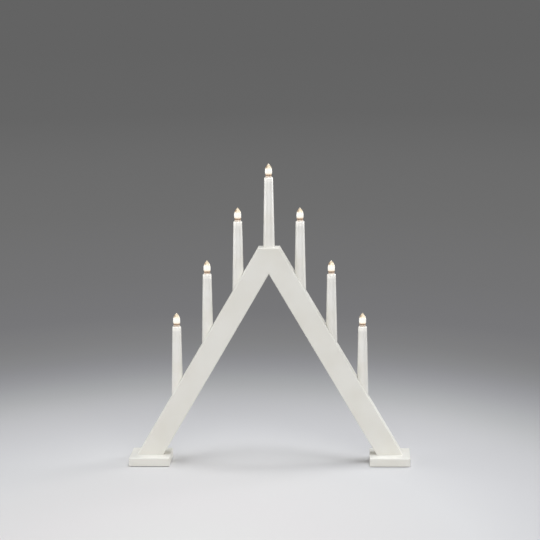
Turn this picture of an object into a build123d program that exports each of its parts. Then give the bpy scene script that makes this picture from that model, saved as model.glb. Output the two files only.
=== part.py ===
from build123d import *
import os
from math import cos, radians, sin, tan

# Candle arch: two painted wooden arms lean together on flat feet and carry seven small screw lamps, each in
# a tapered candle sleeve. Lengths are in millimetres. X runs across the arch, Y from front to back, Z up.
# The origin lies on the surface that the arch stands on, under the apex.

os.makedirs("parts", exist_ok=True)

# The arms, each leaning from upright by this angle in degrees
lean = 30.35
arm_width = 37.7
arm_depth = 30.0
arch_clear_height = 307.5
apex_flat_width = 35.5
arm_edge_round = 1.8

# The feet and the felt strips under them
foot_width = 68.0
foot_depth = 85.0
foot_thickness = 13.8
foot_corner_round = 2.0
foot_edge_bevel = 1.0
felt_thickness = 1.0
felt_strip_depth = 14.0
felt_margin = 5.0

# The candle sleeves and their holes in the arms
candles_each_side = 3
candle_foot_inset = 67.5
sleeve_length = 125.5
sleeve_base_diameter = 19.8
sleeve_top_diameter = 14.8
sleeve_bore_diameter = 12.4
sleeve_mouth_diameter = 10.6
sleeve_lip = 1.2
sleeve_shoulder_bevel = 1.6
sleeve_hole_clearance = 0.1
apex_seat_depth = 8.5
side_seat_depth = 6.4
wire_hole_diameter = 9.0

# The lampholder in each sleeve's top
holder_clearance = 0.1
holder_floor_thickness = 4.0
shell_diameter = 10.4
shell_wall = 0.3
shell_height = 10.8
shell_recess = 0.4
shell_clearance = 0.05
contact_diameter = 3.8
contact_rise = 1.3
moving_clearance = 0.3

# The lamp: a brass cap with a collar, a flame-shaped glass and a filament on a bead in the glass's neck
cap_diameter = 9.3
cap_wall = 0.35
cap_tip_diameter = 3.2
cap_tip_height = 1.2
cap_base_thickness = 1.5
collar_diameter = 11.6
collar_lift = 0.6
collar_height = 1.9
glass_clearance = 0.1
glass_wall = 0.5
glass_neck_depth = 5.0
glass_neck_rise = 3.0
glass_diameter = 13.6
glass_height = 23.7
bead_thickness = 1.2
support_spread = 1.6
support_height = 14.0
filament_thickness = 0.5
filament_span = 6.4
filament_peak = 1.5
filament_facets = 6

# The flame above the neck, as shares of the glass's radius and of its height over the sleeve
flame_shares = ((1, 0.22), (1, 0.5), (0.72, 0.82), (0.13, 1))

# The wire groove in each arm's back, the strip that closes it and the hole for the cord
groove_inset = 6.0
groove_width = 9.0
groove_floor_depth = 19.5
groove_foot_gap = 20.0
strip_ledge = 2.5
strip_thickness = 3.0
strip_clearance = 0.15
cord_hole_diameter = 7.0
cord_hole_inset = 10.0

# The wires: a bundle in the grooves, two leads to each lampholder and two crimped ends
bundle_diameter = 3.6
bundle_bend = 5.0
bundle_tail = 4.0
lead_diameter = 1.8
lead_spread = 2.9
splice_diameter = 4.0
splice_length = 12.0
splice_bore_depth = 8.0
splice_lead_clearance = 0.2
splice_spread = 2.2
splice_gap = 2.0

# The dowels in the apex joint and the screws up through the feet
dowel_diameter = 6.0
dowel_length = 30.0
dowel_setback = 9.75
dowel_inset = 8.0
dowel_pitch = 17.0
dowel_clearance = 0.05
screw_diameter = 4.0
screw_head_diameter = 8.0
screw_length = 34.0
screw_point_length = 4.0
screw_head_recess = 0.5
screw_clearance = 0.1
screw_pitch = 18.0
screw_shift = 4.0

# Heights and places that follow from the sizes above
slope = radians(lean)
foot_top = felt_thickness + foot_thickness
inner_apex = foot_top + arch_clear_height
flat_top = inner_apex + arm_width / sin(slope) - apex_flat_width / 2 / tan(slope)
arm_inner_foot = arch_clear_height * tan(slope)
arm_outer_foot = arm_inner_foot + arm_width / cos(slope)
foot_centre = (arm_inner_foot + arm_outer_foot) / 2
arm_back = arm_depth / 2
groove_middle = groove_inset + groove_width / 2
groove_length = arch_clear_height / cos(slope) - groove_foot_gap
sleeve_hole_radius = sleeve_base_diameter / 2 + sleeve_hole_clearance
candle_spacing = (arm_outer_foot - candle_foot_inset) / candles_each_side
candle_places = [candle_spacing * step for step in range(-candles_each_side, candles_each_side + 1)]
downhill = (sin(slope), 0, -cos(slope))

# Heights in a candle, from its seat
lip_underside = sleeve_length - sleeve_lip
shell_seat = lip_underside - shell_recess - shell_height
holder_underside = shell_seat - holder_floor_thickness
cap_underside = shell_seat + contact_rise + moving_clearance
glass_neck_radius = cap_diameter / 2 - cap_wall - glass_clearance


def arm_point(along, across):
    """Where the right arm is, along its inner face from the apex and across it from that face."""
    reach = across * cos(slope) + along * sin(slope)
    height = inner_apex + across * sin(slope) - along * cos(slope)
    return (reach, height)


def height_at(x, across):
    """The height over x of the line that runs along either arm, this far from its inner face."""
    return inner_apex + across / sin(slope) - abs(x) / tan(slope)


def seat_height(x):
    """The flat bottom of the candle's hole at x."""
    if x == 0:
        return flat_top - apex_seat_depth
    return height_at(abs(x) + sleeve_hole_radius, arm_width) - side_seat_depth


def upright_plane(x, height):
    """An upright drawing plane, seen from the front, with its origin on a lamp's or screw's axis."""
    return Plane(origin=(x, 0, height), x_dir=(1, 0, 0), z_dir=(0, -1, 0))


def upright_axis(x):
    return Axis((x, 0, 0), (0, 0, 1))


def save(piece, name):
    piece.part.label = name
    export_step(piece.part, f"parts/{name}.step")


# The right arm: mitred at the apex, flat on top, rounded along its edges, drilled for its candles and grooved
# at the back
with BuildPart() as right_arm:
    with BuildSketch(Plane.XZ):
        with BuildLine():
            Polyline(
                (0, inner_apex),
                (0, flat_top),
                (apex_flat_width / 2, flat_top),
                (arm_outer_foot, foot_top),
                (arm_inner_foot, foot_top),
                close=True,
            )
        make_face()
    extrude(amount=arm_depth / 2, both=True)
    outline_edges = right_arm.faces().filter_by(Axis.Y).edges()
    long_edges = outline_edges.filter_by(lambda e: e.center().X > arm_edge_round)
    fillet(long_edges.filter_by(lambda e: e.center().Z > foot_top + arm_edge_round), arm_edge_round)

    # The candle's hole, and the wires' hole from its seat into the groove
    for place in candle_places[candles_each_side:]:
        with BuildSketch(Plane((place, 0, seat_height(place)))):
            Circle(sleeve_hole_radius)
        extrude(amount=sleeve_length, mode=Mode.SUBTRACT)
        groove_height = height_at(place, groove_middle)
        with BuildSketch(Plane((place, 0, groove_height))):
            Circle(wire_hole_diameter / 2)
        extrude(amount=seat_height(place) - groove_height, mode=Mode.SUBTRACT)

    # The groove for the wires, and the wider rebate that its strip lies in
    with BuildSketch(Plane.XZ.offset(-arm_back)):
        with BuildLine():
            Polyline(
                (0, height_at(0, groove_inset)),
                (0, height_at(0, groove_inset + groove_width)),
                arm_point(groove_length, groove_inset + groove_width),
                arm_point(groove_length, groove_inset),
                close=True,
            )
        make_face()
    extrude(amount=groove_floor_depth, mode=Mode.SUBTRACT)
    with BuildSketch(Plane.XZ.offset(-arm_back)):
        with BuildLine():
            Polyline(
                (0, height_at(0, groove_inset - strip_ledge)),
                (0, height_at(0, groove_inset + groove_width + strip_ledge)),
                arm_point(groove_length + strip_ledge, groove_inset + groove_width + strip_ledge),
                arm_point(groove_length + strip_ledge, groove_inset - strip_ledge),
                close=True,
            )
        make_face()
    extrude(amount=strip_thickness, mode=Mode.SUBTRACT)

    # Blind holes for the dowels in the joint face and for the screws in the bottom
    with BuildSketch(Plane.YZ):
        with Locations(
            (-dowel_setback, inner_apex + dowel_inset),
            (-dowel_setback, inner_apex + dowel_inset + dowel_pitch),
        ):
            Circle(dowel_diameter / 2 + dowel_clearance)
    extrude(amount=dowel_length / 2 + dowel_clearance, mode=Mode.SUBTRACT)
    with BuildSketch(Plane.XY.offset(foot_top)):
        with Locations((foot_centre - screw_shift, 0)):
            with GridLocations(screw_pitch, 0, 2, 1):
                Circle(screw_diameter / 2 + screw_clearance)
    extrude(amount=screw_length - foot_thickness + screw_clearance, mode=Mode.SUBTRACT)
save(right_arm, "right_arm")

with BuildPart() as left_arm:
    mirror(right_arm.part, about=Plane.YZ)
save(left_arm, "left_arm")

# The feet: flat blocks with eased edges, countersunk from below for two screws each
with BuildPart() as right_foot:
    with BuildSketch(Plane((foot_centre, 0, felt_thickness))):
        RectangleRounded(foot_width, foot_depth, foot_corner_round)
    extrude(amount=foot_thickness)
    chamfer(right_foot.faces().sort_by(Axis.Z)[-1].edges(), foot_edge_bevel)
    foot_base = Plane((foot_centre - screw_shift, 0, felt_thickness), z_dir=(0, 0, -1))
    with Locations(foot_base):
        with GridLocations(screw_pitch, 0, 2, 1):
            CounterSinkHole(
                screw_diameter / 2 + screw_clearance,
                screw_head_diameter / 2 + screw_clearance + screw_head_recess,
                depth=foot_thickness,
                counter_sink_angle=90,
            )
save(right_foot, "right_foot")

with BuildPart() as left_foot:
    mirror(right_foot.part, about=Plane.YZ)
save(left_foot, "left_foot")

# Two felt strips under each foot, along its front and back edges
with BuildPart() as foot_pads:
    with BuildSketch(Plane.XY):
        with GridLocations(
            2 * foot_centre, foot_depth - 2 * felt_margin - felt_strip_depth, 2, 2
        ):
            Rectangle(foot_width - 2 * felt_margin, felt_strip_depth)
    extrude(amount=felt_thickness)
save(foot_pads, "foot_pads")

# Countersunk screws through the feet into the arms
with BuildPart() as foot_screws:
    for side in (-1, 1):
        for end in (-1, 1):
            screw_place = side * (foot_centre - screw_shift + end * screw_pitch / 2)
            with BuildSketch(upright_plane(screw_place, felt_thickness + screw_head_recess)):
                with BuildLine():
                    Polyline(
                        (0, 0),
                        (screw_head_diameter / 2, 0),
                        (screw_diameter / 2, (screw_head_diameter - screw_diameter) / 2),
                        (screw_diameter / 2, screw_length - screw_head_recess - screw_point_length),
                        (0, screw_length - screw_head_recess),
                        close=True,
                    )
                make_face()
            revolve(axis=upright_axis(screw_place))
save(foot_screws, "foot_screws")

# Two dowels across the apex joint, in front of the groove
with BuildPart() as apex_dowels:
    with BuildSketch(Plane.YZ):
        with Locations(
            (-dowel_setback, inner_apex + dowel_inset),
            (-dowel_setback, inner_apex + dowel_inset + dowel_pitch),
        ):
            Circle(dowel_diameter / 2)
    extrude(amount=dowel_length / 2, both=True)
save(apex_dowels, "apex_dowels")


# The strips that close the grooves, mitred where they meet at the apex
def back_strip():
    low = groove_inset - strip_ledge + strip_clearance
    high = groove_inset + groove_width + strip_ledge - strip_clearance
    foot_end = groove_length + strip_ledge - strip_clearance
    with BuildPart() as strip:
        with BuildSketch(Plane.XZ.offset(-arm_back)):
            with BuildLine():
                Polyline(
                    (strip_clearance, height_at(strip_clearance, low)),
                    (strip_clearance, height_at(strip_clearance, high)),
                    arm_point(foot_end, high),
                    arm_point(foot_end, low),
                    close=True,
                )
            make_face()
        extrude(amount=strip_thickness)
    return strip.part


cord_hole_reach, cord_hole_height = arm_point(groove_length - cord_hole_inset, groove_middle)
with BuildPart() as right_back_cover:
    add(back_strip())
    with Locations(Plane((cord_hole_reach, arm_back, cord_hole_height), z_dir=(0, 1, 0))):
        Hole(cord_hole_diameter / 2, depth=strip_thickness)
save(right_back_cover, "right_back_cover")

with BuildPart() as left_back_cover:
    mirror(back_strip(), about=Plane.YZ)
save(left_back_cover, "left_back_cover")

# The wires: one bundle up the left groove and down the right, bent over the apex, with two leads up into
# each lampholder and two ends beside the cord's hole
last_lead = candle_places[-1] + lead_spread
bundle_end = (last_lead - groove_middle * cos(slope)) / sin(slope) + bundle_tail
bundle_corner = height_at(0, groove_middle)
bundle_top = bundle_corner - bundle_bend * (1 / sin(slope) - 1)
right_reach, right_height = arm_point(bundle_end, groove_middle)
with BuildPart() as lamp_leads:
    with BuildLine(Plane.XZ) as route:
        FilletPolyline(
            (-right_reach, right_height),
            (0, bundle_corner),
            (right_reach, right_height),
            radius=bundle_bend,
        )
    with BuildSketch(Plane(origin=route.line @ 0, z_dir=route.line % 0)):
        Circle(bundle_diameter / 2)
    sweep(path=route.line)
    for place in candle_places:
        for end in (-1, 1):
            lead_place = place + end * lead_spread
            lead_base = min(height_at(lead_place, groove_middle), bundle_top - lead_diameter / 2)
            with BuildSketch(Plane((lead_place, 0, lead_base))):
                Circle(lead_diameter / 2)
            extrude(amount=seat_height(place) + holder_underside - lead_base)
    tail_reach, tail_height = arm_point(bundle_end - bundle_tail, groove_middle)
    for end in (-1, 1):
        with BuildSketch(Plane(origin=(tail_reach, end * splice_spread, tail_height), z_dir=downhill)):
            Circle(lead_diameter / 2)
        extrude(amount=bundle_tail + splice_gap + splice_bore_depth)
save(lamp_leads, "lamp_leads")

# The two crimp caps on the bundle's ends
with BuildPart() as splice_caps:
    for end in (-1, 1):
        mouth_reach, mouth_height = arm_point(bundle_end + splice_gap, groove_middle)
        mouth = Plane(origin=(mouth_reach, end * splice_spread, mouth_height), z_dir=downhill)
        with BuildSketch(mouth):
            Circle(splice_diameter / 2)
        extrude(amount=splice_length)
        with BuildSketch(mouth):
            Circle(lead_diameter / 2 + splice_lead_clearance)
        extrude(amount=splice_bore_depth + splice_lead_clearance, mode=Mode.SUBTRACT)
save(splice_caps, "splice_caps")


def candle_sleeve(x, seat):
    """A turned sleeve: tapered outside, eased at the shoulder and bored straight up to a lip at its mouth."""
    with BuildPart() as sleeve:
        with BuildSketch(upright_plane(x, seat)) as section:
            with BuildLine():
                Polyline(
                    (sleeve_base_diameter / 2, 0),
                    (sleeve_top_diameter / 2, sleeve_length),
                    (sleeve_mouth_diameter / 2, sleeve_length),
                    (sleeve_mouth_diameter / 2, lip_underside),
                    (sleeve_bore_diameter / 2, lip_underside),
                    (sleeve_bore_diameter / 2, 0),
                    close=True,
                )
            make_face()
            shoulder = section.vertices().group_by(Axis.Y)[-1].sort_by(Axis.X)[-1]
            chamfer(shoulder, sleeve_shoulder_bevel)
        revolve(axis=upright_axis(x))
    return sleeve


def centre_contact(x, seat):
    """The brass rivet in the holder's floor that the lamp's tip meets."""
    with BuildPart() as contact:
        with BuildSketch(Plane((x, 0, seat + holder_underside))):
            Circle(contact_diameter / 2)
        extrude(amount=holder_floor_thickness + contact_rise)
    return contact


def lamp_cap(x, seat):
    """The screw cap: a cup with a solder tip below and a collar over the sleeve's mouth."""
    cup_base = cap_underside + cap_tip_height
    collar_base = sleeve_length + collar_lift
    collar_top = collar_base + collar_height
    with BuildPart() as cap:
        with BuildSketch(upright_plane(x, seat)):
            with BuildLine():
                Polyline(
                    (0, cap_underside),
                    (cap_tip_diameter / 2, cap_underside),
                    (cap_tip_diameter / 2, cup_base),
                    (cap_diameter / 2, cup_base),
                    (cap_diameter / 2, collar_base),
                    (collar_diameter / 2, collar_base),
                    (collar_diameter / 2, collar_top),
                    (cap_diameter / 2 - cap_wall, collar_top),
                    (cap_diameter / 2 - cap_wall, cup_base + cap_base_thickness),
                    (0, cup_base + cap_base_thickness),
                    close=True,
                )
            make_face()
        revolve(axis=upright_axis(x))
    return cap


def glass_outline(inset):
    """Half of the glass's outline over its seat, this far inside its outer face."""
    neck = glass_neck_radius - inset
    points = [(0, sleeve_length - glass_neck_depth), (neck, sleeve_length - glass_neck_depth)]
    points += [(neck, sleeve_length + glass_neck_rise)]
    for radius_share, height_share in flame_shares:
        radius = radius_share * glass_diameter / 2 - inset
        points += [(radius, sleeve_length + height_share * (glass_height - inset))]
    return points + [(0, sleeve_length + glass_height - inset)]


def lamp_glass(x, seat):
    """The flame-shaped glass, open at its neck."""
    with BuildPart() as glass:
        with BuildSketch(upright_plane(x, seat)):
            with BuildLine():
                Polyline(*glass_outline(0), close=True)
            make_face()
            with BuildLine():
                Polyline(*glass_outline(glass_wall), close=True)
            make_face(mode=Mode.SUBTRACT)
        revolve(axis=upright_axis(x))
    return glass


def lamp_filament(x, seat):
    """The bead in the glass's neck, its two support wires and the filament peaked between them."""
    base = seat + sleeve_length - glass_neck_depth
    shoulder_height = base + support_height
    peak = Vector(x, 0, shoulder_height + filament_peak)
    rods = []
    for end in (-1, 1):
        foot = Vector(x + end * support_spread, 0, base)
        shoulder = Vector(x + end * filament_span / 2, 0, shoulder_height)
        rods += [(foot, shoulder), (shoulder, peak)]
    with BuildPart() as filament:
        with BuildSketch(Plane((x, 0, base))):
            Circle(glass_neck_radius - glass_wall - glass_clearance)
        extrude(amount=bead_thickness)
        for start, end in rods:
            with BuildSketch(Plane(origin=start, z_dir=end - start)):
                RegularPolygon(filament_thickness / 2, side_count=filament_facets)
            extrude(amount=(end - start).length)
    return filament


# The lampholders: plugs under the sleeves' lips, bored for the shells, with a floor for the contact
with BuildPart() as lamp_holders:
    for place in candle_places:
        seat = seat_height(place)
        with BuildSketch(Plane((place, 0, seat + holder_underside))):
            Circle(sleeve_bore_diameter / 2 - holder_clearance)
            Circle(contact_diameter / 2 + moving_clearance, mode=Mode.SUBTRACT)
        extrude(amount=lip_underside - holder_underside)
        with BuildSketch(Plane((place, 0, seat + shell_seat))):
            Circle(shell_diameter / 2 + shell_clearance)
        extrude(amount=lip_underside - shell_seat, mode=Mode.SUBTRACT)
save(lamp_holders, "lamp_holders")

# The brass tubes in the lampholders that the lamps' caps screw into
with BuildPart() as holder_shells:
    for place in candle_places:
        with BuildSketch(Plane((place, 0, seat_height(place) + shell_seat))):
            Circle(shell_diameter / 2)
            Circle(shell_diameter / 2 - shell_wall, mode=Mode.SUBTRACT)
        extrude(amount=shell_height)
save(holder_shells, "holder_shells")

# The seven candles, numbered from the left
for number, place in enumerate(candle_places, start=1):
    seat = seat_height(place)
    save(candle_sleeve(place, seat), f"candle_{number}")
    save(centre_contact(place, seat), f"contact_{number}")
    save(lamp_cap(place, seat), f"bulb_{number}_cap")
    save(lamp_glass(place, seat), f"bulb_{number}_glass")
    save(lamp_filament(place, seat), f"bulb_{number}_filament")
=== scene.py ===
from math import cos, pi, radians, sin

import bmesh
import bpy
from mathutils import Matrix, Vector
from mathutils.geometry import interpolate_bezier


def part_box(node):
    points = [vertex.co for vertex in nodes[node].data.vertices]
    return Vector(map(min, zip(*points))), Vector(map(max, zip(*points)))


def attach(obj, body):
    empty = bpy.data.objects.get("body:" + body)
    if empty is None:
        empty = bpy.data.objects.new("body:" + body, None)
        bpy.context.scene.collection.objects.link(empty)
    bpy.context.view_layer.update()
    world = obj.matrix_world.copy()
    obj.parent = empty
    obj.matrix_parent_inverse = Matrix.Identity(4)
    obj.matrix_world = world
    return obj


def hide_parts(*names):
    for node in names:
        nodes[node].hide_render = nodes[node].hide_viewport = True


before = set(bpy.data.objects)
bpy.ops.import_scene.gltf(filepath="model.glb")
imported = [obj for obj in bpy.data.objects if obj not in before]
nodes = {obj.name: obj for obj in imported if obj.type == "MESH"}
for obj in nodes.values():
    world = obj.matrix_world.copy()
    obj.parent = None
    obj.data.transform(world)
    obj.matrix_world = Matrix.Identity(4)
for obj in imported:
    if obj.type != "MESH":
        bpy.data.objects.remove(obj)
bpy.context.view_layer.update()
mm = 0.001
lampNumbers = range(1, 8)
print("frame loaded:", len(nodes), "CAD nodes")


# sRGB hex to the linear colour that shaders take
def linearColour(hexText):
    parts = [int(hexText[i:i + 2], 16) / 255 for i in (1, 3, 5)]
    return [p / 12.92 if p <= 0.04045 else ((p + 0.055) / 1.055) ** 2.4 for p in parts] + [1.0]


# adds one node; inputs are plain values or another node's output socket, stops are places with hex colours
def addNode(tree, kind, inputs=None, stops=(), **settings):
    node = tree.nodes.new(kind)
    for name, value in settings.items():
        setattr(node, name, value)
    for name, value in (inputs or {}).items():
        if isinstance(value, bpy.types.NodeSocket):
            tree.links.new(value, node.inputs[name])
        else:
            node.inputs[name].default_value = value
    for number, (place, colour) in enumerate(stops):
        elements = node.color_ramp.elements
        stop = elements[number] if number < 2 else elements.new(place)
        stop.position = place
        stop.color = linearColour(colour)
    return node


# an empty material, and the object's own coordinates in it
def newMaterial(name):
    material = bpy.data.materials.new(name)
    material.use_nodes = True
    tree = material.node_tree
    tree.nodes.clear()
    coords = addNode(tree, "ShaderNodeTexCoord")
    return material, tree, coords.outputs["Object"]


def addShader(tree, inputs):
    shader = addNode(tree, "ShaderNodeBsdfPrincipled", inputs)
    addNode(tree, "ShaderNodeOutputMaterial", {"Surface": shader.outputs["BSDF"]})


# noise with grains of a size in mm; on stretched coordinates, which carry the scale, no size is given
def grainNoise(tree, coords, size=None, detail=2.0, swirl=0.0):
    scale = 1 / size / mm if size else 1.0
    noise = addNode(tree, "ShaderNodeTexNoise", {"Vector": coords, "Scale": scale, "Detail": detail,
                                                 "Distortion": swirl})
    return noise.outputs["Fac"]


# coordinates in which a pattern's grains are these mm long on each axis, turned about Z by so many degrees
def stretchedCoords(tree, coords, sizes, turn=0):
    stretched = addNode(tree, "ShaderNodeMapping", {
        "Vector": coords, "Scale": [1 / size / mm for size in sizes], "Rotation": (0, 0, radians(turn))})
    return stretched.outputs["Vector"]


# the fine rings round Z that a lathe leaves, spaced in mm
def latheRings(tree, coords, spacing, swirl, detail=2.0):
    scale = 2 * pi / 20 / spacing / mm         # the wave node itself multiplies its place by 20
    rings = addNode(tree, "ShaderNodeTexWave", {"Vector": coords, "Scale": scale, "Distortion": swirl,
                                                "Detail": detail}, wave_type="BANDS", bands_direction="Z")
    return rings.outputs["Fac"]


# the first colour below the first place of a pattern, the second above the second, and a change between
def twoTones(tree, pattern, tones, places):
    return addNode(tree, "ShaderNodeValToRGB", {"Fac": pattern}, zip(places, tones)).outputs["Color"]


# turns one range of values into another
def rangeTo(tree, value, start, end, **settings):
    mapped = addNode(tree, "ShaderNodeMapRange", {
        "Value": value, "From Min": start[0], "From Max": start[1],
        "To Min": end[0], "To Max": end[1]}, **settings)
    return mapped.outputs["Result"]


# a pattern's relief, by its strength and its depth in mm, on top of another relief if one is given
def addRelief(tree, pattern, strength, depth, under=None):
    inputs = {"Height": pattern, "Strength": strength, "Distance": depth * mm}
    if under is not None:
        inputs["Normal"] = under
    return addNode(tree, "ShaderNodeBump", inputs).outputs["Normal"]


# Satin acrylic paint, rolled on sanded pine: soft wide highlights, a fine orange-peel stipple from the roller
# and the wood's grain just standing through the film. Sizes are mm, and a relief is a strength and a depth.
paint = {
    "tones": ("#DFDCD3", "#E4E2DB"), "tonePlaces": (0.3, 0.62),     # thin film warmed by the wood, full film
    "mottleSize": 55,
    "stippleSize": 0.9, "stippleRelief": (0.3, 0.05),
    "grainAcross": 1.6, "grainAlong": 60, "grainRelief": (0.25, 0.08),
    "roughness": (0.40, 0.50), "roughPlaces": (0.3, 0.7), "ior": 1.48,
    "armLean": 30.35, "footGrain": 90,         # degrees between the grain and upright
}


def satinPaintOnPine(name, lean):
    material, tree, coords = newMaterial(name)
    turned = addNode(tree, "ShaderNodeMapping", {"Vector": coords, "Rotation": (0, radians(lean), 0)})
    grainSizes = (paint["grainAcross"], paint["grainAcross"], paint["grainAlong"])
    grain = grainNoise(tree, stretchedCoords(tree, turned.outputs["Vector"], grainSizes), detail=3.0)
    mottle = grainNoise(tree, coords, paint["mottleSize"])
    stipple = grainNoise(tree, coords, paint["stippleSize"], detail=1.0)
    grained = addRelief(tree, grain, *paint["grainRelief"])
    addShader(tree, {
        "Base Color": twoTones(tree, mottle, paint["tones"], paint["tonePlaces"]),
        "Roughness": rangeTo(tree, mottle, paint["roughPlaces"], paint["roughness"]), "IOR": paint["ior"],
        "Normal": addRelief(tree, stipple, *paint["stippleRelief"], under=grained)})
    return material


# Sprayed nitro lacquer on a turned beech sleeve: smoother than the arms, with the lathe's fine rings round
# it, the side lights' soft shine on its flanks and a painted glow on its last few millimetres, which stands
# in for the lamp's light falling there.
lacquer = {
    "tones": ("#E8E5DD", "#ECEAE5"), "tonePlaces": (0.35, 0.6), "mottleSize": 40,
    "ringSpacing": 1.1, "ringSwirl": 0.6, "ringRelief": (0.15, 0.03),
    "roughness": 0.34, "ior": 1.5, "topCoat": 0.8, "topCoatRoughness": 0.22,
    # the painted glow: emission on the sleeve's top that stands in for the lamp's light falling there
    "paintedLampGlowColour": "#FFF8EC", "paintedLampGlowStrength": 0.12, "paintedLampGlowReach": (9.5, 5),      # mm, under the sleeve's top
}


def sprayedLacquer(top):
    material, tree, coords = newMaterial("sprayedLacquer")
    rings = latheRings(tree, coords, lacquer["ringSpacing"], lacquer["ringSwirl"], detail=1.0)
    mottle = grainNoise(tree, coords, lacquer["mottleSize"])
    height = addNode(tree, "ShaderNodeSeparateXYZ", {"Vector": coords}).outputs["Z"]
    # painted glow, rising towards the sleeve's top in place of the lamp's light on it
    paintedGlowSpan = [(top - reach) * mm for reach in lacquer["paintedLampGlowReach"]]
    paintedLampGlow = rangeTo(tree, height, paintedGlowSpan, (0, lacquer["paintedLampGlowStrength"]),
                        interpolation_type="SMOOTHSTEP")
    addShader(tree, {
        "Base Color": twoTones(tree, mottle, lacquer["tones"], lacquer["tonePlaces"]),
        "Roughness": lacquer["roughness"], "IOR": lacquer["ior"],
        "Coat Weight": lacquer["topCoat"], "Coat Roughness": lacquer["topCoatRoughness"],
        "Emission Color": linearColour(lacquer["paintedLampGlowColour"]), "Emission Strength": paintedLampGlow,
        "Normal": addRelief(tree, rings, *lacquer["ringRelief"])})
    return material


# Drawn and rolled brass, dulled by handling: warm yellow metal with fine lines round the turning and
# brownish tarnish in patches, which is rougher than the clean metal.
brass = {
    "tones": ("#8A6234", "#C9A25A"), "tonePlaces": (0.38, 0.58), "patchSize": 2.5,
    "lineSpacing": 0.25, "lineSwirl": 1.5, "lineRelief": (0.2, 0.02),
    "roughness": (0.42, 0.26), "roughPlaces": (0.35, 0.65),
}


def tarnishedBrass():
    material, tree, coords = newMaterial("tarnishedBrass")
    patches = grainNoise(tree, coords, brass["patchSize"], detail=4.0)
    lines = latheRings(tree, coords, brass["lineSpacing"], brass["lineSwirl"])
    addShader(tree, {
        "Base Color": twoTones(tree, patches, brass["tones"], brass["tonePlaces"]), "Metallic": 1.0,
        "Roughness": rangeTo(tree, patches, brass["roughPlaces"], brass["roughness"]),
        "Normal": addRelief(tree, lines, *brass["lineRelief"])})
    return material


# Acid-frosted inner wall of the lit glass: the filament behind it fills it with light, white and even in
# the belly, cream above it and dim at the point. On one side of the point a brown patch is painted in, a
# painted dark reflection in the glass. Places are mm, over the sleeve's top.
frosting = {
    "glow": ((0.0, "#C9B08E"), (0.07, "#F6EAD8"), (0.17, "#FFFFFA"), (0.45, "#FFFFFC"), (0.58, "#FEF8E6"),
             (0.7, "#FBEED4"), (0.8, "#F0E1C6"), (0.9, "#D6C9B4"), (1.0, "#A0968B")),    # from neck to tip
    "strength": 1.0,
    "body": "#4C4238",               # what shows when the lamp is out
    # the brown patch is a painted dark reflection, set round one point near the flame's tip
    "paintedDarkReflection": "#94714E", "paintedReflectionPlace": (-4.4, -2.4, 17.8), "paintedReflectionReach": (1.3, 4.3),
    "grainSize": 0.35, "grainRelief": (0.4, 0.05), "roughness": 0.6, "ior": 1.5,
}


def litFrosting(top, neck, tip):
    material, tree, coords = newMaterial("litFrosting")
    height = addNode(tree, "ShaderNodeSeparateXYZ", {"Vector": coords}).outputs["Z"]
    share = rangeTo(tree, height, ((top + neck) * mm, (top + tip) * mm), (0, 1))
    glow = addNode(tree, "ShaderNodeValToRGB", {"Fac": share}, frosting["glow"]).outputs["Color"]
    # painted dark reflection: brown mixed into the glow by distance from one point
    x, y, z = frosting["paintedReflectionPlace"]
    away = addNode(tree, "ShaderNodeVectorMath", {0: coords, 1: (x * mm, y * mm, (z + top) * mm)},
                   operation="DISTANCE").outputs["Value"]
    reach = [edge * mm for edge in frosting["paintedReflectionReach"]]
    paintedDarkReflection = rangeTo(tree, away, reach, (1, 0), interpolation_type="SMOOTHSTEP")
    toned = addNode(tree, "ShaderNodeMix", {0: paintedDarkReflection, 6: glow, 7: linearColour(frosting["paintedDarkReflection"])},
                    data_type="RGBA").outputs[2]       # 0 is the share, 6 and 7 are the colours
    grain = grainNoise(tree, coords, frosting["grainSize"])
    addShader(tree, {
        "Base Color": linearColour(frosting["body"]), "Roughness": frosting["roughness"],
        "IOR": frosting["ior"], "Emission Color": toned, "Emission Strength": frosting["strength"],
        "Normal": addRelief(tree, grain, *frosting["grainRelief"])})
    return material


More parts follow.
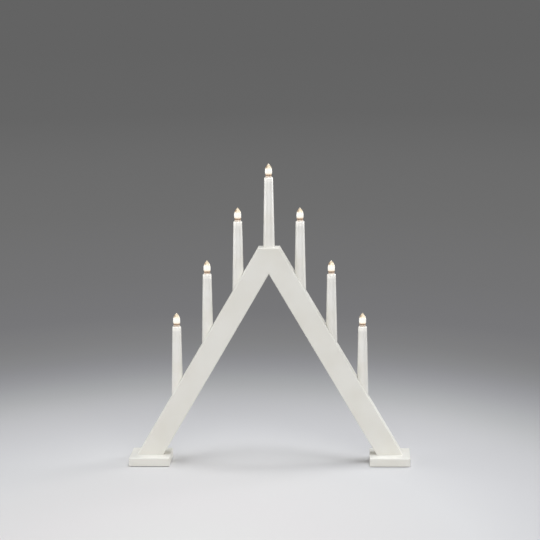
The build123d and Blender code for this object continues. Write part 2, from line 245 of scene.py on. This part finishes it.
# The plainer finishes, each in two tones of one noise. A size is mm, or mm along each axis where the grain
# has a direction, and "shader" holds what goes to the shader's sockets as it is.
plainFinishes = {
    # soft solder, dipped by hand: a grey, slightly lumpy bead under the cap
    "dippedSolder": {
        "size": 0.8, "tones": ("#7E7E7C", "#A9A9A6"), "places": (0.35, 0.6), "relief": (0.5, 0.1),
        "shader": {"Metallic": 1.0, "Roughness": 0.45}},
    # pressed black glass, the insulator between a lamp's barrel and tip: nearly black, with a dull shine
    "pressedBlackGlass": {
        "size": 1.5, "swirl": 0.8, "tones": ("#1B1918", "#2E2A27"), "places": (0.4, 0.7),
        "shader": {"Roughness": 0.25, "IOR": 1.52}},
    # capping cement, baked hard: matt and grainy; its pale brown is partly its own tone and partly painted
    # shade in the gap under the glass
    "cementWithPaintedShade": {
        "size": 0.3, "detail": 3.0, "tones": ("#9F836C", "#C4AA93"), "places": (0.35, 0.65),
        "relief": (0.4, 0.06), "shader": {"Roughness": 0.85}},
    # blown soda glass, clear and very thin: bright rims where it turns away, faint waves from the mould
    "blownGlass": {
        "size": 6, "detail": 1.0, "tones": ("#FFFAF3", "#FFFDFA"), "places": (0.3, 0.7),
        "relief": (0.2, 0.1), "shader": {"Transmission Weight": 1.0, "Roughness": 0.1, "IOR": 1.5}},
    # drawn tungsten wire, burning: yellow-white, a little dimmer where the supports cool it
    "hotTungsten": {
        "size": 1.2, "tones": ("#FFB060", "#FFE9B0"), "places": (0.3, 0.6), "glow": 6.0,
        "shader": {"Metallic": 1.0, "Roughness": 0.4}},
    # pressed wool felt, cut in strips: dark grey, matt, with loose fibres crossing each other
    "pressedFelt": {
        "size": (2.0, 0.12, 0.12), "turn": 35, "detail": 3.0, "swirl": 1.2,
        "tones": ("#3B3A39", "#5A5856"), "places": (0.35, 0.65), "relief": (0.8, 0.2),
        "shader": {"Roughness": 0.95, "Sheen Weight": 0.3}},
    # bright zinc plate on steel screws: cool grey with the cloudy patches of the plating bath
    "zincPlate": {
        "size": 1.6, "detail": 4.0, "tones": ("#94989C", "#C2C5C8"), "places": (0.35, 0.6),
        "shader": {"Metallic": 1.0, "Roughness": 0.34}},
    # planed beech, bare: pale pinkish tan with short darker flecks along the grain
    "bareBeech": {
        "size": (4, 0.4, 0.4), "detail": 3.0, "tones": ("#A87C4E", "#CFA878"), "places": (0.38, 0.55),
        "shader": {"Roughness": 0.6}},
    # moulded plastics, told apart by colour and gloss: the lampholders' off-white, half dull
    "mouldedPolyamide": {
        "size": 0.5, "tones": ("#C9C4B6", "#D8D4C8"), "places": (0.35, 0.65), "relief": (0.2, 0.04),
        "shader": {"Roughness": 0.5, "IOR": 1.53}},
    # the wires' soft white cover, a little glossier
    "softWireCover": {
        "size": 0.8, "tones": ("#CFCEC9", "#DEDDD9"), "places": (0.35, 0.65), "relief": (0.2, 0.04),
        "shader": {"Roughness": 0.42, "IOR": 1.53}},
    # the crimp caps' bluish plastic, shiny
    "clearPolycarbonate": {
        "size": 1.2, "tones": ("#B4BCC1", "#C9D0D4"), "places": (0.35, 0.65), "relief": (0.2, 0.04),
        "shader": {"Roughness": 0.12, "IOR": 1.53}},
    # the lamps' collar rings, warm and half dull; their pale ivory is partly painted light from the lamp's
    # glow
    "ivoryCollarWithPaintedGlow": {
        "size": 0.5, "tones": ("#F1E0CF", "#F8ECE0"), "places": (0.35, 0.65), "relief": (0.2, 0.04),
        "shader": {"Roughness": 0.4, "IOR": 1.53}},
}


def plainFinish(name):
    finish = plainFinishes[name]
    material, tree, coords = newMaterial(name)
    size = finish["size"]
    if isinstance(size, tuple):
        coords = stretchedCoords(tree, coords, size, finish.get("turn", 0))
        size = None
    grain = grainNoise(tree, coords, size, finish.get("detail", 2.0), finish.get("swirl", 0.0))
    colour = twoTones(tree, grain, finish["tones"], finish["places"])
    inputs = {"Base Color": colour, **finish["shader"]}
    if "relief" in finish:
        inputs["Normal"] = addRelief(tree, grain, *finish["relief"])
    if "glow" in finish:
        inputs["Emission Color"] = colour
        inputs["Emission Strength"] = finish["glow"]
    addShader(tree, inputs)
    return material


paintLeft = satinPaintOnPine("satinPaintLeftArm", paint["armLean"])
paintRight = satinPaintOnPine("satinPaintRightArm", -paint["armLean"])
paintFeet = satinPaintOnPine("satinPaintFeet", paint["footGrain"])
brassy = tarnishedBrass()
glowing = plainFinish("hotTungsten")

cadFinishes = {
    "left_arm": paintLeft, "left_back_cover": paintLeft, "left_foot": paintFeet,
    "right_arm": paintRight, "right_back_cover": paintRight, "right_foot": paintFeet,
    "foot_pads": plainFinish("pressedFelt"),
    "foot_screws": plainFinish("zincPlate"), "apex_dowels": plainFinish("bareBeech"),
    "lamp_leads": plainFinish("softWireCover"), "splice_caps": plainFinish("clearPolycarbonate"),
    "lamp_holders": plainFinish("mouldedPolyamide"), "holder_shells": brassy,
}
for number in lampNumbers:
    cadFinishes[f"contact_{number}"] = brassy
    cadFinishes[f"bulb_{number}_filament"] = glowing
for name, material in cadFinishes.items():
    nodes[name].data.materials.clear()
    nodes[name].data.materials.append(material)
print("materials on", len(cadFinishes), "CAD nodes")

tinyRadius = 1e-6                # mm, less than this is on the axis
sharpAngle = radians(38)         # an edge that bends more than this is shaded as an edge


# points of a piece of an ellipse, from one angle to another in degrees
def arcPoints(centre, across, up, start, end, steps):
    points = []
    for step in range(steps + 1):
        angle = radians(start + (end - start) * step / steps)
        points.append((centre[0] + across * cos(angle), centre[1] + up * sin(angle)))
    return points


# points of a Bezier curve given as start, two handles and end
def curvePoints(start, startHandle, endHandle, end, steps):
    corners = [Vector((*p, 0)) for p in (start, startHandle, endHandle, end)]
    return [(p.x, p.y) for p in interpolate_bezier(*corners, steps + 1)]


# turns an outline of (radius, height) in mm about Z; slots give a material number for each stretch of it
def turnedMesh(name, outline, around, closed=False, thread=None, slots=None):
    mesh = bpy.data.meshes.new(name)
    shape = bmesh.new()
    rings = []
    for radius, height in outline:
        ring = []
        for step in range(around):
            angle = 2 * pi * step / around
            r = radius + (thread(angle, height, radius) if thread else 0)
            ring.append(shape.verts.new((r * cos(angle) * mm, r * sin(angle) * mm, height * mm)))
            if radius == 0:
                break
        rings.append(ring)
    pairs = zip(rings, rings[1:] + rings[:1] if closed else rings[1:])
    for row, (low, high) in enumerate(pairs):
        for step in range(around):
            after = (step + 1) % around
            corners = [low[step % len(low)], low[after % len(low)],
                       high[after % len(high)], high[step % len(high)]]
            corners = list(dict.fromkeys(corners))         # a point on the axis counts once
            if len(corners) < 3:
                continue
            face = shape.faces.new(corners)
            face.smooth = True
            face.material_index = slots[row] if slots else 0
    bmesh.ops.recalc_face_normals(shape, faces=shape.faces)
    for edge in shape.edges:
        if len(edge.link_faces) == 2 and edge.calc_face_angle() > sharpAngle:
            edge.smooth = False
    shape.to_mesh(mesh)
    shape.free()
    return mesh


def placePiece(name, mesh, place, body, replaced, materials):
    piece = bpy.data.objects.new(name, mesh)
    bpy.context.scene.collection.objects.link(piece)
    piece.location = place
    if not mesh.materials:
        for material in materials:
            mesh.materials.append(material)
    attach(piece, body)
    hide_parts(replaced)


# where each candle stands: the middle and the bottom of its CAD box; all seven sleeves have one size
seats = {}
for number in lampNumbers:
    low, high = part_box(f"candle_{number}")
    seats[number] = ((low.x + high.x) / 2, 0, low.z)
sleeveBase = (high.x - low.x) / 2 / mm         # radius at the bottom
sleeveTop = (high.z - low.z) / mm

# The sleeve: tapered, with a round shoulder and a rolled-in mouth. All in mm, heights over the seat.
sleeve = {
    "topRadius": 7.4, "mouthRadius": 5.3, "boreRadius": 6.2, "lip": 1.2,
    "shoulderAcross": 1.6, "shoulderUp": 2.2, "shoulderSteps": 8, "mouthRound": 0.3, "mouthSteps": 3,
    "around": 64,
}


def sleeveOutline():
    across, up, rolled = sleeve["shoulderAcross"], sleeve["shoulderUp"], sleeve["mouthRound"]
    lipFoot = sleeveTop - sleeve["lip"]
    shoulder = arcPoints((sleeve["topRadius"] - across, sleeveTop - up), across, up, 0, 90,
                         sleeve["shoulderSteps"])
    mouth = arcPoints((sleeve["mouthRadius"] + rolled, sleeveTop - rolled), rolled, rolled, 90, 180,
                      sleeve["mouthSteps"])
    inside = [(sleeve["mouthRadius"], lipFoot), (sleeve["boreRadius"], lipFoot), (sleeve["boreRadius"], 0)]
    return [(sleeveBase, 0)] + shoulder + mouth + inside


lacquered = sprayedLacquer(sleeveTop)
sleeveMesh = turnedMesh("candleSleeve", sleeveOutline(), sleeve["around"], closed=True)
for number in lampNumbers:
    placePiece(f"candle{number}Sleeve", sleeveMesh, seats[number], "arch", f"candle_{number}",
               [lacquered])
print("sleeves turned")

# The lamp's cap: solder tip, black glass insulator, barrel with its round screw thread, the collar ring in
# pale ivory, partly painted light from the lamp's glow, and the bead of cement that holds the glass, its
# brown partly painted shade under the glass. All in mm, heights over the sleeve's top.
cap = {
    "tip": -10.8, "tipRadius": 1.6, "tipHeight": 1.2, "tipSteps": 5,
    "insulatorRadius": 2.4, "insulatorTop": -8.6,
    "barrelRadius": 4.5, "barrelEdge": (0.35, 0.4),      # how far in and down from it the insulator ends
    "pitch": 1.81, "threadDepth": 0.22, "threadTop": -0.6, "threadEase": 0.8, "rowsEachTurn": 8,
    "collarBase": 0.3, "collarTop": 1.9, "collarRadius": 5.5, "collarRound": 0.6, "collarSteps": 5,
    "cementRadius": 5.3, "cementTop": 5.0, "cementSteps": 8,
    "around": 48,
}
# the cement's finish carries painted shade, and the collar's ivory carries painted light from the lamp
capFinishes = {
    "brass": brassy, "insulator": plainFinish("pressedBlackGlass"), "solder": plainFinish("dippedSolder"),
    "cement": plainFinish("cementWithPaintedShade"), "ivory": plainFinish("ivoryCollarWithPaintedGlow"),
}


# how far the thread stands out of the barrel; it runs out at both ends
def threadRise(angle, height, radius):
    over = height - sleeveTop
    if radius != cap["barrelRadius"] or not cap["insulatorTop"] < over < cap["threadTop"]:
        return 0
    nearestEnd = min(over - cap["insulatorTop"], cap["threadTop"] - over)
    ease = min(1, nearestEnd / cap["threadEase"])
    return ease * cap["threadDepth"] * cos(2 * pi * over / cap["pitch"] - angle)


# the cap's points from the tip up, and the material number of the stretch above each
def capOutline():
    rows = []
    barrel, tipTop, edge = cap["barrelRadius"], cap["tip"] + cap["tipHeight"], cap["barrelEdge"]
    tip = arcPoints((0, tipTop), cap["tipRadius"], cap["tipHeight"], -90, 0, cap["tipSteps"])
    rows += [(r if r > tinyRadius else 0, h, "solder") for r, h in tip]
    rows += [(cap["insulatorRadius"], tipTop, "insulator"),
             (barrel - edge[0], cap["insulatorTop"] - edge[1], "insulator")]
    turns = (cap["threadTop"] - cap["insulatorTop"]) / cap["pitch"]
    count = int(turns * cap["rowsEachTurn"])
    for row in range(count + 1):
        rows.append((barrel, cap["insulatorTop"] + row * turns * cap["pitch"] / count, "brass"))
    rows.append((barrel, cap["collarBase"], "brass"))
    rounded, rim = cap["collarRound"], cap["collarRadius"] - cap["collarRound"]
    for height, start in ((cap["collarBase"] + rounded, -90), (cap["collarTop"] - rounded, 0)):
        corner = arcPoints((rim, height), rounded, rounded, start, start + 90, cap["collarSteps"])
        rows += [(r, h, "ivory") for r, h in corner]
    bead = (cap["cementTop"] - cap["collarTop"]) / 2
    cement = arcPoints((cap["cementRadius"] - bead, cap["collarTop"] + bead), bead, bead, -90, 90,
                       cap["cementSteps"])
    rows += [(r, h, "cement") for r, h in cement + [(0, cap["cementTop"])]]
    numbers = {finish: number for number, finish in enumerate(capFinishes)}
    return [(r, h + sleeveTop) for r, h, _ in rows], [numbers[finish] for _, _, finish in rows]


capPoints, capSlots = capOutline()
capMesh = turnedMesh("lampCap", capPoints, cap["around"], thread=threadRise, slots=capSlots)

# The glass: a short neck in the collar, a low belly and a flame's point. The outer wall is clear and the
# inner wall is frosted and lit. All in mm, heights over the sleeve's top.
flame = {
    "neck": (4.3, 4.4), "neckHandles": ((5.6, 4.4), (6.0, 5.3)), "neckSteps": 8,
    "belly": (6.0, 9.0), "bellyHandles": ((6.0, 14.6), (5.0, 17.2)), "bellySteps": 16,
    "tip": (0, 22.9), "wall": 0.6, "around": 48,
}


# one wall of the glass, this far inside the outer one; at the tip the glass is twice as thick
def flameOutline(inset):
    scale = 1 - inset / flame["belly"][0]
    neck = (flame["neck"][0] - inset, flame["neck"][1])
    belly = (flame["belly"][0] - inset, flame["belly"][1])
    tip = (0, flame["tip"][1] - 2 * inset)
    neckHandles = [(r * scale, h) for r, h in flame["neckHandles"]]
    bellyHandles = [(r * scale, h - inset) for r, h in flame["bellyHandles"]]
    low = curvePoints(neck, *neckHandles, belly, flame["neckSteps"])
    high = curvePoints(belly, *bellyHandles, tip, flame["bellySteps"])
    return [(r if r > tinyRadius else 0, h + sleeveTop) for r, h in low + high[1:]]


glassy = plainFinish("blownGlass")
frosted = litFrosting(sleeveTop, flame["neck"][1], flame["tip"][1])
flameMesh = turnedMesh("flameGlass", flameOutline(0), flame["around"])
frostMesh = turnedMesh("flameFrosting", flameOutline(flame["wall"]), flame["around"])
for number in lampNumbers:
    placePiece(f"lamp{number}Cap", capMesh, seats[number], f"bulb_{number}", f"bulb_{number}_cap",
               list(capFinishes.values()))
    placePiece(f"lamp{number}Glass", flameMesh, seats[number], f"bulb_{number}", f"bulb_{number}_glass",
               [glassy])
    placePiece(f"lamp{number}Frosting", frostMesh, seats[number], f"bulb_{number}", f"bulb_{number}_glass",
               [frosted])
print("lamps made")

# The floor: a pale paper sweep. Near the arch it is paper that takes the light and the shadow, and its tone
# darkens with distance from the middle, a painted pool of light. Far off it turns into a grey behind, painted
# darker with distance, which only camera, mirrored and passing rays see. Lengths are metres.
floorLook = {
    "radius": 16.0, "cells": 32,
    "middle": (-0.11, -0.7),
    "squeeze": 1.8,                  # the light pool is this much narrower than it is deep
    "paperPaintedPoolReach": 2.0,
    # the painted pool of light: the paper's tone falls off with distance from the middle
    "paperPaintedPool": ((0, "#D9D7D6"), (0.1, "#D6D4D2"), (0.2, "#D4D1D0"), (0.3, "#D1CFCE"), (0.4, "#CECDCD"),
              (0.5, "#C5C4C5"), (0.6, "#BCBBBC"), (0.7, "#B2B2B2"), (0.85, "#A6A7AA"), (1, "#979A9B")),
    "paperRoughness": 0.85, "paperShine": 0.2,
    "hazePaintedFalloffReach": 16.0,
    # painted falloff: the grey behind darkens with distance
    "hazePaintedFalloff": ((0, "#918F92"), (0.073, "#868488"), (0.096, "#828083"), (0.118, "#828283"),
             (0.146, "#777779"), (0.186, "#737374"), (0.281, "#6E6E6E"), (0.394, "#6B6B6B"),
             (0.562, "#656565"), (1, "#636363")),
    "fade": (1.2, 2.1),              # from paper to haze
}


def seenRays(tree):
    rays = addNode(tree, "ShaderNodeLightPath")
    seen = rays.outputs["Is Camera Ray"]
    for kind in ("Is Glossy Ray", "Is Transmission Ray"):
        seen = addNode(tree, "ShaderNodeMath", {0: seen, 1: rays.outputs[kind]},
                       operation="MAXIMUM").outputs["Value"]
    return seen


def paperSweep():
    material, tree, coords = newMaterial("paperSweep")
    x, y = floorLook["middle"]
    moved = addNode(tree, "ShaderNodeMapping", {"Vector": coords, "Location": (-x, -y, 0)})
    squeezed = addNode(tree, "ShaderNodeVectorMath", {0: moved.outputs["Vector"],
                                                      1: (floorLook["squeeze"], 1, 0)}, operation="MULTIPLY")
    away = addNode(tree, "ShaderNodeVectorMath", {0: squeezed.outputs["Vector"]},
                   operation="LENGTH").outputs["Value"]
    shades = {}
    # tones by distance: the painted pool of light on the paper and the painted falloff of the grey behind
    for name in ("paperPaintedPool", "hazePaintedFalloff"):
        share = addNode(tree, "ShaderNodeMath", {0: away, 1: floorLook[name + "Reach"]},
                        operation="DIVIDE").outputs["Value"]
        shades[name] = addNode(tree, "ShaderNodeValToRGB", {"Fac": share}, floorLook[name]).outputs["Color"]
    paperPaintedPool = addNode(tree, "ShaderNodeBsdfPrincipled", {
        "Base Color": shades["paperPaintedPool"], "Roughness": floorLook["paperRoughness"],
        "Specular IOR Level": floorLook["paperShine"]})
    hazePaintedFalloff = addNode(tree, "ShaderNodeEmission", {"Color": shades["hazePaintedFalloff"]})
    far = rangeTo(tree, away, floorLook["fade"], (0, 1), interpolation_type="SMOOTHSTEP")
    hazeShare = addNode(tree, "ShaderNodeMath", {0: far, 1: seenRays(tree)}, operation="MULTIPLY")
    mixed = addNode(tree, "ShaderNodeMixShader", {
        0: hazeShare.outputs["Value"], 1: paperPaintedPool.outputs["BSDF"], 2: hazePaintedFalloff.outputs["Emission"]})
    addNode(tree, "ShaderNodeOutputMaterial", {"Surface": mixed.outputs["Shader"]})
    return material


def studioFloor():
    mesh = bpy.data.meshes.new("studioFloor")
    shape = bmesh.new()
    bmesh.ops.create_grid(shape, x_segments=floorLook["cells"], y_segments=floorLook["cells"],
                          size=floorLook["radius"])
    shape.to_mesh(mesh)
    shape.free()
    surface = bpy.data.objects.new("studioFloor", mesh)
    bpy.context.scene.collection.objects.link(surface)
    mesh.materials.append(paperSweep())


studioFloor()

# The studio: a wide lamp overhead that throws the arms' soft shadow on the floor and the feet, a wide panel
# at the left and a smaller one behind at the right that edge the candles, a soft fill from the front, and a
# little light all round. Places and sizes are metres.
light = {
    "world": ("#FFFFFF", 0.12), "worldLook": ("#636363", 1.0),      # what lights the arch, and what is seen
    "lamps": {
        "topLamp": {"place": (0.25, -0.17, 2.35), "aim": (0.25, -0.17, 0), "size": (0.9, 1.3), "watts": 40,
                    "colour": "#F6FAFF"},
        "leftPanel": {"place": (-1.8, 0.0, 0.65), "aim": (0, 0, 0.3), "size": (2.6, 1.0), "watts": 19,
                      "colour": "#FFFFFF"},
        "rightPanel": {"place": (1.9, 0.9, 0.8), "aim": (0, 0, 0.3), "size": (1.2, 1.0), "watts": 23,
                       "colour": "#FFFFFF"},
        "frontFill": {"place": (0.5, -3.0, 1.3), "aim": (0, 0, 0.2), "size": (2.0, 1.6), "watts": 46,
                      "colour": "#FFFFFF"},
    },
}


def aimed(place, aim, roll=0.0):
    turn = (Vector(aim) - Vector(place)).to_track_quat("-Z", "Y").to_matrix().to_4x4()
    return Matrix.Translation(place) @ turn @ Matrix.Rotation(radians(roll), 4, "Z")


def studioLight():
    world = bpy.data.worlds.new("studio")
    bpy.context.scene.world = world
    world.use_nodes = True
    tree = world.node_tree
    tree.nodes.clear()
    lighting, look = [
        addNode(tree, "ShaderNodeBackground", {"Color": linearColour(colour), "Strength": strength})
        for colour, strength in (light["world"], light["worldLook"])]
    mixed = addNode(tree, "ShaderNodeMixShader", {0: seenRays(tree), 1: lighting.outputs["Background"],
                                                  2: look.outputs["Background"]})
    addNode(tree, "ShaderNodeOutputWorld", {"Surface": mixed.outputs["Shader"]})
    for name, lamp in light["lamps"].items():
        data = bpy.data.lights.new(name, "AREA")
        data.shape = "RECTANGLE"
        data.size, data.size_y = lamp["size"]
        data.energy = lamp["watts"]
        data.color = linearColour(lamp["colour"])[:3]
        holder = bpy.data.objects.new(name, data)
        bpy.context.scene.collection.objects.link(holder)
        holder.matrix_world = aimed(lamp["place"], lamp["aim"])


studioLight()

# The camera: long lens, a little to the right and above, as the photograph was taken. Angles are degrees,
# the sensor is mm and the rest is metres or pixels.
view = {
    "place": (0.16, -4.0, 0.8765), "yaw": 2.27, "pitch": 7.81, "roll": -0.36,
    "focalPixels": 2413, "frameWidth": 540,
    "sensorWidth": 36, "farEnd": 40,
}


def photoCamera():
    data = bpy.data.cameras.new("photoCamera")
    data.sensor_width = view["sensorWidth"]
    data.lens = view["sensorWidth"] * view["focalPixels"] / view["frameWidth"]
    data.clip_end = view["farEnd"]
    camera = bpy.data.objects.new("photoCamera", data)
    bpy.context.scene.collection.objects.link(camera)
    yaw, pitch = radians(view["yaw"]), radians(view["pitch"])
    ahead = Vector((-sin(yaw) * cos(pitch), cos(yaw) * cos(pitch), -sin(pitch)))
    camera.matrix_world = aimed(view["place"], Vector(view["place"]) + ahead, view["roll"])
    bpy.context.scene.camera = camera


photoCamera()
bpy.context.scene.view_settings.view_transform = "Standard"
print("studio and camera set")
